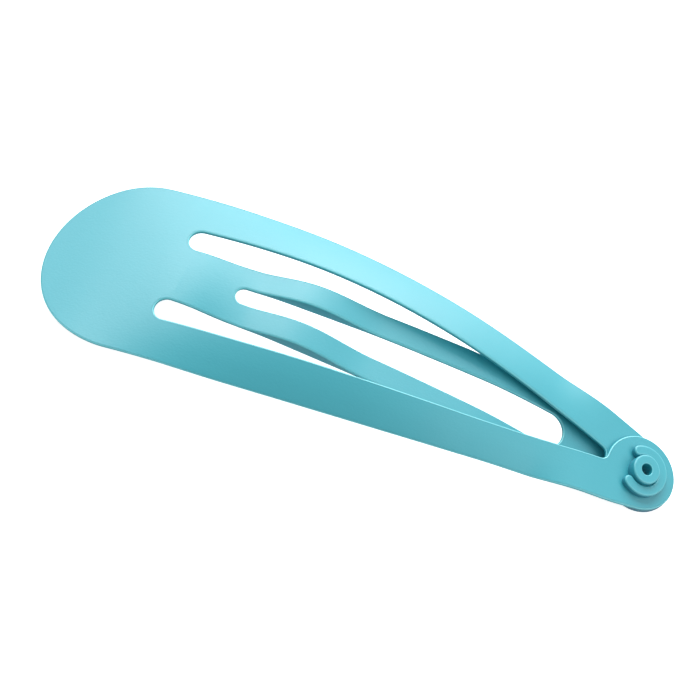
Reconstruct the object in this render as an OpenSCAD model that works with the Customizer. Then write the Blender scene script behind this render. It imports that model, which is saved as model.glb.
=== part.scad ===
// Snap hair clip: one arched spring steel sheet with a coated surface. A round head carries two arms
// that cross and are riveted at their tips, and a slotted tongue that snaps shut beneath them.
// X runs from the head to the riveted tip, Y across the clip, Z up. The clip stands on Z = 0.

/* [Sheet] */
// Length from the rim of the head to the riveted tip
clip_length = 50; // [44:0.5:56]
// Width across the round head
head_w = 14.2; // [13:0.1:16]
// Height of the lengthwise arch above the line between its two ends
arch_rise = 6.6; // [5.5:0.1:7.5]
// Drop of the crosswise arch at half the head's width, in the middle of the clip
cross_drop = 2.1; // [1.2:0.1:2.4]
// Thickness of the coated sheet
sheet_t = 0.35; // [0.28:0.01:0.4]

/* [Arms] */
// Distance from the head's rim to where the outline starts to narrow
shoulder_x = 12; // [11:0.5:15]
// Radius of the outline's long shoulder curve
shoulder_r = 132; // [110:1:160]
// Width between the arms beside the head
opening_w = 7.9; // [7.4:0.1:8.4]
// Distance from the head's rim to where the arms start to close in
opening_x = 13.7; // [12:0.1:16]
// Radius of the arms' inner edges
opening_r = 136; // [130:1:150]
// Diameter of the round pad at the end of each arm
pad_d = 5.6; // [5.2:0.1:6]
// Radius of the hollow curve between an arm's inner edge and its pad
pad_fillet_r = 0.6; // [0.5:0.05:0.8]
// Gap between the two stacked pads
pad_gap = 0.04; // [0.02:0.01:0.08]

/* [Tongue] */
// Distance from the head's rim to the round ends of the two side slots
slot_start = 9.6; // [9:0.1:10.5]
// Width of the tongue where it leaves the head
tongue_root_w = 4.5; // [4.2:0.1:5]
// Width of the tongue past its middle
tongue_w = 6; // [5.4:0.1:6.2]
// Distance from the head's rim to where the tongue reaches its full width
tongue_full_x = 32; // [28:0.5:36]
// Gap between the round end of the tongue and the rivet's foot
tongue_tip_gap = 0.5; // [0.3:0.05:1]
// Height of the pressed hump across the tongue
hump_h = 0.87; // [0.5:0.01:1]
// Distance from the head's rim to the start of the hump
hump_start = 15.5; // [15:0.1:17]
// Distance from the head's rim to the top of the hump
hump_peak = 20.3; // [19:0.1:22]
// Distance from the head's rim to the far end of the hump
hump_end = 25.8; // [25:0.1:28]
// Thickness of the hump's side walls
hump_wall = 0.3; // [0.25:0.01:0.35]
// Gap between the tongue and the head, where the sheet bends
seam_gap = 0.16; // [0.12:0.01:0.2]

/* [Tongue window] */
// Distance from the head's rim to the narrow end of the tongue's window
window_start = 14.55; // [14:0.05:15.2]
// Width of the window at its narrow end
window_root_w = 1.3; // [1.1:0.05:1.5]
// Length of the tongue's solid end, past its window
tongue_tip_l = 4.55; // [4:0.05:5.5]
// Width of the window at its wide end
window_end_w = 2.65; // [2.3:0.05:2.8]

/* [Rivet] */
// Radius of the rivet's shank in the two pads
shank_r = 0.9; // [0.8:0.01:1]
// Radial clearance of the shank in the pads
shank_clearance = 0.03; // [0.02:0.01:0.06]
// Radius of the round button on top of the rivet
button_r = 1.18; // [1.1:0.01:1.25]
// Height of the button above the upper pad
button_h = 0.98; // [0.85:0.01:1.1]
// Width of the slope round the button's upper edge
button_edge = 0.14; // [0.08:0.01:0.2]
// Outer radius of the open collar round the button
collar_r = 1.96; // [1.9:0.01:2.1]
// Depth by which the collar's inner side lies inside the button
collar_overlap = 0.06; // [0.05:0.01:0.08]
// Width of the slope round the collar's upper edges
bead_edge_h = 0.16; // [0.1:0.01:0.2]
// Step by which the collar's round ends lie inside its sides
cap_inset = 0.02; // [0.01:0.01:0.04]
// Height of the collar above the upper pad
collar_h = 0.54; // [0.48:0.01:0.6]
// Angle that the collar leaves open towards the head
collar_opening = 118; // [100:1:130]
// Radius of the hole through the rivet
eye_r = 0.47; // [0.4:0.01:0.55]
// Radius of the rivet's foot under the lower pad
foot_r = 1.3; // [1.2:0.01:1.4]
// Thickness of the rivet's foot
foot_h = 0.28; // [0.2:0.01:0.3]
// Gap between the rivet and the faces of the pads
seat_gap = 0.01; // [0.01:0.01:0.03]

/* [Hidden] */

COAT = [0.42, 0.80, 0.85];
$fn = 48;

// The sheet's two arches, one row for each tenth of the length: the lengthwise height as a share of
// arch_rise, and the crosswise drop as a share of cross_drop
ARCH_HEIGHT = 0;
ARCH_DROP = 1;
SHEET_ARCH = [
    [0.00, 0.00],
    [0.362, 0.06],
    [0.661, 0.38],
    [0.874, 0.74],
    [0.988, 0.93],
    [0.983, 1.00],
    [0.879, 0.98],
    [0.699, 0.90],
    [0.485, 0.77],
    [0.256, 0.59],
    [0.00, 0.40],
];

// The tongue's height without its hump, one row for each twentieth of the length from 0.15 of it on,
// as a share of arch_rise
TONGUE_FIRST_SHARE = 0.15;
TONGUE_SHARE_STEP = 0.05;
TONGUE_LINE = [
    [0.521], [0.661], [0.682], [0.695], [0.724], [0.722], [0.714], [0.701], [0.674],
    [0.636], [0.594], [0.540], [0.448], [0.330], [0.205], [0.105], [0.050],
];

// Numbers of cells in the plates' grids
ARM_ACROSS = 6;
SLOT_ACROSS = 6;
ROOT_ACROSS = 4;
HEAD_ALONG = 9;
ARM_ALONG = 16;
FILLET_ALONG = 4;
PAD_ALONG = 14;
WINDOW_ACROSS = 8;
TONGUE_ROOT_ALONG = 4;
LEG_ALONG = 30;
TONGUE_END_ALONG = 6;

// Angle that is left out at the very tip of a pad's outline
TIP_ANGLE = 4;
// Share of the length over which the crosswise arch fades into the flat pads
FADE_SHARE = 0.78;
// Share of the length from which the two arms part in height towards their pads
PART_SHARE = 0.66;
// Step along X or Y for slopes
SLOPE_STEP = 0.01;
// Largest share of the radius at which the shoulder curve would run straight into the pad's circle
SHOULDER_SHARE = 0.98;

head_r = head_w / 2;
pad_r = pad_d / 2;
pad_x = clip_length - pad_r;
tongue_end = pad_x - foot_r - tongue_tip_gap;
window_end = tongue_end - tongue_tip_l;
slot_r = (opening_w - tongue_root_w) / 4;
slot_mid_y = (opening_w + tongue_root_w) / 4;
root_x = slot_start + slot_r;
window_root_r = window_root_w / 2;
window_end_r = window_end_w / 2;
window_root_x = window_start + window_root_r;
window_end_x = window_end - window_end_r;
pad_step = sheet_t + pad_gap;

function mix(a, b, s) = a + (b - a) * s;
function clip01(s) = min(max(s, 0), 1);
function ease(s) = let(u = clip01(s)) u * u * (3 - 2 * u);

// Value of a table's column at the share s of its length, on a smooth curve through its rows
function smooth_row(table, column, s) =
    let(last = len(table) - 1,
        i = min(max(floor(s * last), 0), last - 1),
        f = s * last - i,
        b = table[i][column],
        c = table[i + 1][column],
        a = i > 0 ? table[i - 1][column] : 2 * b - c,
        d = i < last - 1 ? table[i + 2][column] : 2 * c - b)
    b + f / 2 * (c - a + f * (2 * a - 5 * b + 4 * c - d + f * (3 * b - a - 3 * c + d)));

// Lengthwise arch: heights of the table, lifted so that both ends stand on Z = 0, and straight in the pads
function arch_height(x) = arch_rise * smooth_row(SHEET_ARCH, ARCH_HEIGHT, x / clip_length);
flat_x = pad_x - pad_r - pad_fillet_r;
head_angle = atan(arch_height(SLOPE_STEP) / SLOPE_STEP);
tip_angle = atan(arch_height(flat_x) / (clip_length - flat_x));
head_lift = sheet_t / 2 * cos(head_angle);
tip_lift = (sheet_t + pad_gap / 2) * cos(tip_angle);
function lifted(x) = arch_height(x) + mix(head_lift, tip_lift, x / clip_length);
pad_angle = atan((lifted(flat_x) - tip_lift) / (clip_length - flat_x));
function crest(x) =
    x < flat_x ? lifted(x) : mix(lifted(flat_x), tip_lift, (x - flat_x) / (clip_length - flat_x));

// Crosswise arch: how fast the sheet drops with the square of Y
function drop_rate(x) =
    cross_drop * smooth_row(SHEET_ARCH, ARCH_DROP, x / clip_length) / head_r ^ 2
    * (1 - ease((x - FADE_SHARE * clip_length) / (flat_x - FADE_SHARE * clip_length)));

function sheet_z(x, y) = crest(x) - drop_rate(x) * y ^ 2;

// Point of the sheet over the plan point p, moved along the sheet's normal
function on_sheet(p, off) =
    let(x = p[0],
        y = p[1],
        slope_x = (sheet_z(x + SLOPE_STEP, y) - sheet_z(x - SLOPE_STEP, y)) / (2 * SLOPE_STEP),
        slope_y = (sheet_z(x, y + SLOPE_STEP) - sheet_z(x, y - SLOPE_STEP)) / (2 * SLOPE_STEP))
    [x, y, sheet_z(x, y)] + off * [-slope_x, -slope_y, 1] / norm([slope_x, slope_y, 1]);

// Half width of the outline: the round head, a long shoulder curve, a straight run and the round pad
straight_in_r = ((pad_x - shoulder_x) ^ 2 + head_r ^ 2 - pad_r ^ 2) / (head_r - pad_r) / 2;
long_r = min(shoulder_r, SHOULDER_SHARE * straight_in_r);
shoulder_y = head_r - long_r;
run_angle = atan2(-shoulder_y, pad_x - shoulder_x)
    + acos((long_r - pad_r) / norm([pad_x - shoulder_x, shoulder_y]));
run_from = [shoulder_x, shoulder_y] + long_r * [cos(run_angle), sin(run_angle)];
run_to = [pad_x, 0] + pad_r * [cos(run_angle), sin(run_angle)];
function round_y(r, d) = sqrt(max(r ^ 2 - d ^ 2, 0));
function outline_y(x) =
    x < shoulder_x ? head_r
    : x < run_from[0] ? shoulder_y + round_y(long_r, x - shoulder_x)
    : x < run_to[0] ? mix(run_from[1], run_to[1], (x - run_from[0]) / (run_to[0] - run_from[0]))
    : round_y(pad_r, x - pad_x);
function head_rim_x(y) = head_r - round_y(head_r, y);

// Half width between the arms, straight, then on a long curve that ends straight near the pads
inner_run_x = 0.84 * clip_length;
inner_mid_y = opening_w / 2 - opening_r;
inner_run_slope = -(inner_run_x - opening_x) / round_y(opening_r, inner_run_x - opening_x);
function inner_y(x) =
    x < opening_x ? opening_w / 2
    : inner_mid_y + round_y(opening_r, min(x, inner_run_x) - opening_x)
    + inner_run_slope * max(x - inner_run_x, 0);

// The hollow curve from an arm's inner edge into its pad
fillet_from = -atan(inner_run_slope);
fillet_guess_x = pad_x - pad_r - pad_fillet_r;
fillet_y = inner_y(fillet_guess_x + pad_fillet_r * sin(fillet_from)) - pad_fillet_r * cos(fillet_from);
fillet_x = pad_x - round_y(pad_r + pad_fillet_r, fillet_y);
pad_from = atan2(-fillet_y, pad_x - fillet_x);
fillet_to = 90 - pad_from;
fillet_start = [fillet_x, fillet_y] + pad_fillet_r * [sin(fillet_from), cos(fillet_from)];
pad_start_x = pad_x - pad_r * cos(pad_from);

// Plan points of the far arm's inner and outer edges, row by row towards the tip
function arm_edges() = concat(
    [for (i = [0:ARM_ALONG])
        let(x = mix(root_x, fillet_start[0], i / ARM_ALONG))
        [[x, inner_y(x)], [x, outline_y(x)]]],
    [for (i = [1:FILLET_ALONG])
        let(s = i / FILLET_ALONG,
            a = mix(fillet_from, fillet_to, s),
            x = mix(fillet_start[0], pad_start_x, s))
        [[fillet_x, fillet_y] + pad_fillet_r * [sin(a), cos(a)], [x, outline_y(x)]]],
    [for (i = [1:PAD_ALONG])
        let(s = i / PAD_ALONG,
            a = mix(pad_from, 180 - TIP_ANGLE, s),
            x = mix(pad_start_x, pad_x + pad_r * cos(TIP_ANGLE), (1 - cos(180 * s)) / 2))
        [[pad_x, 0] - pad_r * [cos(a), sin(a)], [x, outline_y(x)]]]);

// Shares across an arm, close together at the outer edge so that the head's rim stays round
rim_from = asin(opening_w / head_w);
ARM_SHARES = [for (i = [0:ARM_ACROSS])
    (head_r * sin(mix(rim_from, 90, i / ARM_ACROSS)) - opening_w / 2) / (head_r - opening_w / 2)];

// Places across the head: near arm, near slot, tongue, far slot, far arm
far_arm_ys = [for (s = ARM_SHARES) mix(opening_w / 2, head_r, s)];
far_slot_ys = [for (i = [1:SLOT_ACROSS - 1]) slot_mid_y - slot_r * cos(180 * i / SLOT_ACROSS)];
root_ys = [for (i = [0:ROOT_ACROSS]) mix(-tongue_root_w, tongue_root_w, i / ROOT_ACROSS) / 2];
function mirrored(ys) = [for (i = [len(ys) - 1:-1:0]) -ys[i]];
head_ys = concat(mirrored(far_arm_ys), mirrored(far_slot_ys), root_ys, far_slot_ys, far_arm_ys);

// Where the head ends: at the seam before the tongue, and round the ends of the side slots
function head_end_x(y) =
    abs(y) < tongue_root_w / 2 + SLOPE_STEP ? root_x - seam_gap / 2
    : root_x - round_y(slot_r, abs(y) - slot_mid_y);

// Height by which an arm leaves the middle of the sheet on its way to its pad
function arm_step(x) =
    pad_step / 2 * ease((x / clip_length - PART_SHARE) / (flat_x / clip_length - PART_SHARE));

// A plate with one cell between each four neighbours in its grids of upper and lower points, left out
// where has_cell is false. Rows run along X and columns along Y.
module plate(upper, lower, has_cell) {
    rows = len(upper);
    cols = len(upper[0]);
    count = rows * cols;
    function at(i, j) = i >= 0 && i < rows - 1 && j >= 0 && j < cols - 1 && has_cell[i][j];
    points = concat([for (r = upper) each r], [for (r = lower) each r]);
    faces = [for (i = [0:rows - 2], j = [0:cols - 2]) if (has_cell[i][j])
        let(a = i * cols + j, b = a + cols, c = b + 1, d = a + 1)
        each concat(
            [[a, d, c], [a, c, b], [a + count, b + count, c + count], [a + count, c + count, d + count]],
            at(i, j - 1) ? [] : [[a, b, b + count], [a, b + count, a + count]],
            at(i, j + 1) ? [] : [[c, d, d + count], [c, d + count, c + count]],
            at(i + 1, j) ? [] : [[b, c, c + count], [b, c + count, b + count]],
            at(i - 1, j) ? [] : [[d, a, a + count], [d, a + count, d + count]])];
    polyhedron(points, faces, convexity = 6);
}

// Moves a shape from the clip's length to the middle of its box
module centred() {
    head_reach = sheet_t / 2 * sin(head_angle);
    tip_reach = (sheet_t + pad_gap / 2) * sin(pad_angle);
    translate([-(clip_length + tip_reach - head_reach) / 2, 0, 0]) children();
}

// Moves a shape onto the pads, with Z = 0 in the middle between them
module on_pads() {
    translate([pad_x, 0, crest(pad_x)]) rotate([0, pad_angle, 0]) children();
}

// Head, arms and pads in one sheet, bored for the rivet
module frame() {
    edges = arm_edges();
    arm_rows = [for (k = [1:len(edges) - 1])
        let(far = [for (s = ARM_SHARES) mix(edges[k][0], edges[k][1], s)],
            near = [for (i = [len(far) - 1:-1:0]) [far[i][0], -far[i][1]]],
            gap = [for (i = [1:len(head_ys) - 2 * len(far)])
                mix(near[len(far) - 1], far[0], i / (len(head_ys) - 2 * len(far) + 1))])
        concat(near, gap, far)];
    head_rows = [for (i = [0:HEAD_ALONG])
        [for (y = head_ys) [mix(head_rim_x(y), head_end_x(y), i / HEAD_ALONG), y]]];
    plan = concat(head_rows, arm_rows);
    function side(j) = j < len(head_ys) / 2 ? 1 : -1;
    function layer(half) = [for (row = plan)
        [for (j = [0:len(row) - 1]) on_sheet(row[j], side(j) * arm_step(row[j][0]) + half)]];
    cells = [for (i = [0:len(plan) - 2])
        [for (j = [0:len(head_ys) - 2])
            i < HEAD_ALONG || j < ARM_ACROSS || j > len(head_ys) - 2 - ARM_ACROSS]];
    color(COAT) centred() difference() {
        plate(layer(sheet_t / 2), layer(-sheet_t / 2), cells);
        on_pads() cylinder(r = shank_r + shank_clearance, h = 4 * pad_step, center = true);
    }
}

// Tongue: half width, half width of its window, its height and its hump
function tongue_y(x) =
    mix(tongue_root_w, tongue_w, clip01((x - root_x) / (tongue_full_x - root_x))) / 2;
window_slope = (window_end_r - window_root_r) / (window_end_x - window_root_x);
function window_y(x) =
    (window_root_r + (x - window_root_x) * window_slope) / sqrt(1 - window_slope ^ 2);
function tongue_line(x) =
    let(s = (x / clip_length - TONGUE_FIRST_SHARE) / (TONGUE_SHARE_STEP * (len(TONGUE_LINE) - 1)))
    arch_rise * smooth_row(TONGUE_LINE, 0, s) + mix(head_lift, tip_lift, x / clip_length);
function hump(x) =
    x < hump_peak ? hump_h * sin(90 * clip01((x - hump_start) / (hump_peak - hump_start))) ^ 2
    : hump_h * cos(90 * clip01((x - hump_peak) / (hump_end - hump_peak))) ^ 2;
function tongue_drop(x) = drop_rate(x) * clip01((0.5 - x / clip_length) / 0.3);
function tongue_z(x, y) = tongue_line(x) - tongue_drop(x) * y ^ 2;
function tongue_half(x) =
    sheet_t / 2 * norm([(tongue_line(x + SLOPE_STEP) - tongue_line(x - SLOPE_STEP)) / (2 * SLOPE_STEP), 1]);

// Places across one leg of the tongue, from the window outwards. Its walls go down to the rim.
function leg_ys(x) =
    let(a = window_y(x), b = tongue_y(x))
    [a, a + hump_wall, a + 1.5 * hump_wall, (a + b) / 2, b - 1.5 * hump_wall, b - hump_wall, b];
LEG_WALL = [true, true, false, false, false, true, true];

// One tongue shape: a row of plan points from the near edge to the far edge, with the window's places
// between the legs taken from an arc or a straight line
function tongue_row(leg_x, leg, window_x, window) = concat(
    [for (i = [len(leg) - 1:-1:0]) [leg_x[i], -leg[i]]],
    [for (i = [1:len(window) - 2]) [window_x[i], window[i]]],
    [for (i = [0:len(leg) - 1]) [leg_x[i], leg[i]]]);
function same(x, list) = [for (v = list) x];
window_shares = [for (i = [0:WINDOW_ACROSS]) -cos(180 * i / WINDOW_ACROSS)];

module tongue() {
    seam_x = root_x + seam_gap / 2;
    function flat_row(x) =
        let(leg = leg_ys(x), window = window_y(x) * window_shares)
        tongue_row(same(x, leg), leg, same(x, window), window);
    function arc_row(x, r) =
        let(leg = leg_ys(x), window = window_y(x) * window_shares)
        tongue_row(same(x, leg), leg, [for (s = window_shares) x + r * sqrt(1 - s ^ 2)], window);
    end_r = tongue_w / 2;
    end_x = tongue_end - end_r;
    end_leg = leg_ys(end_x);
    end_window = end_leg[0] * window_shares;
    last_row = tongue_row(
        [for (y = end_leg) end_x + round_y(end_r, y)], end_leg,
        [for (y = end_window) end_x + round_y(end_r, y)], end_window);
    function between(a, b, n) = [for (i = [0:n]) [for (j = [0:len(a) - 1]) mix(a[j], b[j], i / n)]];
    root_rows = between(flat_row(seam_x), arc_row(window_root_x, -window_root_r), TONGUE_ROOT_ALONG);
    leg_rows = [for (i = [1:LEG_ALONG - 1]) flat_row(mix(window_root_x, window_end_x, i / LEG_ALONG))];
    end_rows = between(arc_row(window_end_x, window_end_r), last_row, TONGUE_END_ALONG);
    plan = concat(root_rows, leg_rows, end_rows);
    legs = len(LEG_WALL);
    function wall(j) = j < legs ? LEG_WALL[legs - 1 - j]
        : j >= len(plan[0]) - legs ? LEG_WALL[j - len(plan[0]) + legs] : false;
    upper = [for (row = plan) [for (p = row)
        [p[0], p[1], tongue_z(p[0], p[1]) + hump(p[0]) + tongue_half(p[0])]]];
    lower = [for (row = plan) [for (j = [0:len(row) - 1])
        let(x = row[j][0], y = row[j][1])
        [x, y, tongue_z(x, y) + (wall(j) ? 0 : hump(x)) - tongue_half(x)]]];
    cells = [for (i = [0:len(plan) - 2]) [for (j = [0:len(plan[0]) - 2])
        i < TONGUE_ROOT_ALONG || i >= len(plan) - 1 - TONGUE_END_ALONG
        || j < legs - 1 || j > len(plan[0]) - 1 - legs]];
    color(COAT) centred() plate(upper, lower, cells);
}

// Rivet: a button with a hole, an open collar round it, a shank through both pads and a flat foot
module rivet() {
    bead_w = collar_r - button_r + collar_overlap;
    bead_mid = collar_r - bead_w / 2;
    swept = 360 - collar_opening;
    stack = pad_step + sheet_t;
    foot_top = -stack - 2 * seat_gap;
    function bead_edge(half, side) = [
        [side * half, 0], [side * half, collar_h - bead_edge_h],
        [side * (half - bead_edge_h), collar_h]];
    function turned(list) = [for (i = [len(list) - 1:-1:0]) list[i]];
    cap_r = bead_w / 2 - cap_inset;
    color(COAT) centred() on_pads() translate([0, 0, stack / 2 + seat_gap]) difference() {
        union() {
            rotate_extrude() polygon([
                [0, 0], [button_r, 0], [button_r, button_h - button_edge],
                [button_r - button_edge, button_h], [0, button_h]]);
            rotate([0, 0, -swept / 2]) rotate_extrude(angle = swept) translate([bead_mid, 0])
                polygon(concat(bead_edge(bead_w / 2, 1), turned(bead_edge(bead_w / 2, -1))));
            for (side = [-1, 1]) rotate([0, 0, side * swept / 2]) translate([bead_mid, 0, 0])
                rotate_extrude() polygon(concat([[0, 0]], bead_edge(cap_r, 1), [[0, collar_h]]));
            translate([0, 0, foot_top - foot_h / 2]) cylinder(r = shank_r, h = foot_h / 2 - foot_top);
            translate([0, 0, foot_top - foot_h]) cylinder(r = foot_r, h = foot_h);
        }
        translate([0, 0, foot_top - 2 * foot_h])
            cylinder(r = eye_r, h = button_h - foot_top + 4 * foot_h);
    }
}

frame();
tongue();
rivet();
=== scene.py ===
"""Snap hair clip with a matte turquoise coat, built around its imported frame.

The clip is one arched sheet of spring steel. A round head carries two arms whose pads lie one over
the other at the tip, where a rivet holds them, and a slotted tongue springs between the arms. The
sheet's plates are cut from plan outlines, laid onto the arched surface and given rounded edges.
Lengths are in metres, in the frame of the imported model. In a plan, X is measured from the head's
rim and Y from the clip's middle line.
"""

from __future__ import annotations

import logging
import math
from collections.abc import Callable
from dataclasses import dataclass, field
from enum import Enum
from functools import partial

import bpy
import numpy as np
from mathutils import Matrix, Vector
from mathutils.geometry import delaunay_2d_cdt

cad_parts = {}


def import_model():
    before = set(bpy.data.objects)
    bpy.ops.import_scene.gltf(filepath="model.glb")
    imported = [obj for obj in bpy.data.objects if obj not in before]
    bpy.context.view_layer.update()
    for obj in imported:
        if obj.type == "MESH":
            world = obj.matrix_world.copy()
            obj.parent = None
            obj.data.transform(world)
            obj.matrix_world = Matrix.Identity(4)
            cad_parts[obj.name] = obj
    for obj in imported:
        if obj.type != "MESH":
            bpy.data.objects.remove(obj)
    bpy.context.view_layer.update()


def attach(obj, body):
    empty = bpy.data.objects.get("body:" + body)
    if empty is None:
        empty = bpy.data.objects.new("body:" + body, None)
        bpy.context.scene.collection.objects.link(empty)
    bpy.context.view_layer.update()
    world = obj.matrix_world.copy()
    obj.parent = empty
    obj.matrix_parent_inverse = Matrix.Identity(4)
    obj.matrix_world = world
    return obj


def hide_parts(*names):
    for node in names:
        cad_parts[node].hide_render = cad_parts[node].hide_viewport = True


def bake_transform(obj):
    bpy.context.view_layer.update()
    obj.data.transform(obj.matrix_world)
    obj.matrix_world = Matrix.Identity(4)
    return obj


LOG = logging.getLogger("hair_clip")
Array = np.ndarray
Point = Array | tuple[float, float]
Faces = list[tuple[int, ...]]
Colour = tuple[float, float, float]
QUARTER = math.pi / 2
FINE_UNITS = 1000.0  # plans are cut and the rivet is fused in millimetres, which suits both steps
CUT_TOLERANCE = 1e-6
FEWEST_ARC_STEPS = 6
LOW_COLOUR, HIGH_COLOUR, COLOUR_RESULT = 6, 7, 2  # sockets of a Mix node that share their names
# per-point painted light: a painted highlight above 0 and painted shade below 0
PAINTED_LIGHT_ATTRIBUTE = "rim"


class Side(Enum):
    """Which arm a part of the plate belongs to, as the sign of its Y."""

    NEAR = -1
    FAR = 1


class Face(Enum):
    """A plate's two faces, as the direction in which each one looks."""

    UPPER = 1
    LOWER = -1


class Body(Enum):
    """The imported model's moving bodies."""

    FRAME = "clip_frame"
    TONGUE = "clip_tongue"


def progress(value: Array | float, start: float, end: float) -> Array:
    """Return the share of the way from start to end at which a value lies, from 0 to 1."""
    return np.clip((value - start) / (end - start), 0.0, 1.0)


def ease(value: Array | float, start: float, end: float) -> Array:
    """Return a smooth step that goes from 0 at start to 1 at end."""
    share = progress(value, start, end)
    return share * share * (3.0 - 2.0 * share)


def mix(low: Array | float, high: Array | float, share: Array | float) -> Array | float:
    """Return the value at a share of the way from low to high."""
    return low + (high - low) * share


def line(start: Point, end: Point, step: float) -> Array:
    """Points along a straight edge, without its last one.

    Args:
        start: plan point where the edge starts.
        end: plan point where it ends.
        step: largest distance between points.

    Returns:
        One row of X and Y for each point.
    """
    count = max(int(math.ceil(float(np.linalg.norm(np.subtract(end, start))) / step)), 1)
    shares = np.arange(count)[:, None] / count
    return np.asarray(start) + (np.asarray(end) - np.asarray(start)) * shares


def arc(centre: Point, radius: float, start: float, end: float, step: float) -> Array:
    """Points along a round edge, without its last one.

    Args:
        centre: plan point of the circle's middle.
        radius: the circle's radius.
        start: angle of the first point, in radians.
        end: angle where the edge ends, in radians. Below start it runs clockwise.
        step: largest distance between points, which are closer on the smallest arcs.

    Returns:
        One row of X and Y for each point.
    """
    count = max(int(math.ceil(abs(end - start) * radius / step)), FEWEST_ARC_STEPS)
    angles = start + (end - start) * np.arange(count) / count
    return np.asarray(centre) + radius * np.column_stack([np.cos(angles), np.sin(angles)])


def joined(*stretches: Array | list) -> Array:
    """Return the stretches of an edge as one."""
    return np.vstack(stretches)


def mirrored(points: Array) -> Array:
    """Return an edge's points on the other side of the clip, in the opposite order."""
    return points[::-1] * np.array([1.0, -1.0])


def within(points: Array, edges: list[Array]) -> Array:
    """Which points lie inside closed edges, by the edges that a ray to the right crosses.

    Args:
        points: flat points to test.
        edges: closed edges, holes included.

    Returns:
        True for each point inside.
    """
    inside = np.zeros(len(points), bool)
    x, y = points[:, 0], points[:, 1]
    for edge in edges:
        for (ax, ay), (bx, by) in zip(edge, np.roll(edge, -1, 0)):
            crosses = (ay > y) != (by > y)
            with np.errstate(divide="ignore", invalid="ignore"):
                reach = ax + (y - ay) * (bx - ax) / (by - ay)
            inside ^= crosses & (x < reach)
    return inside


def added(name: str, data: bpy.types.ID) -> bpy.types.Object:
    """Add an object to the scene.

    Args:
        name: name of the object.
        data: the mesh, light or camera that it holds.

    Returns:
        The object.
    """
    made = bpy.data.objects.new(name, data)
    bpy.context.scene.collection.objects.link(made)
    return made


@dataclass(frozen=True)
class ShareCurve:
    """A smooth curve through evenly spaced shares of a size.

    Attributes:
        rows: the shares of the size.
        first: share of the clip's length at the first of them.
        step: share of the length between two of them.
    """

    rows: tuple[float, ...]
    first: float = 0.0
    step: float = 0.1

    def at(self, share: Array | float) -> Array:
        """Value of the curve.

        Args:
            share: share of the clip's length for each point.

        Returns:
            The share of the curve's own size at each point.
        """
        before = 2 * self.rows[0] - self.rows[1]
        after = 2 * self.rows[-1] - self.rows[-2]
        rows = np.array([before, *self.rows, after])
        place = (np.asarray(share, float) - self.first) / self.step
        index = np.clip(np.floor(place), 0, len(self.rows) - 2).astype(int)
        f = place - index
        a, b, c, d = (rows[index + k] for k in range(4))
        return b + f / 2 * (c - a + f * (2 * a - 5 * b + 4 * c - d + f * (3 * b - a - 3 * c + d)))


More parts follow.
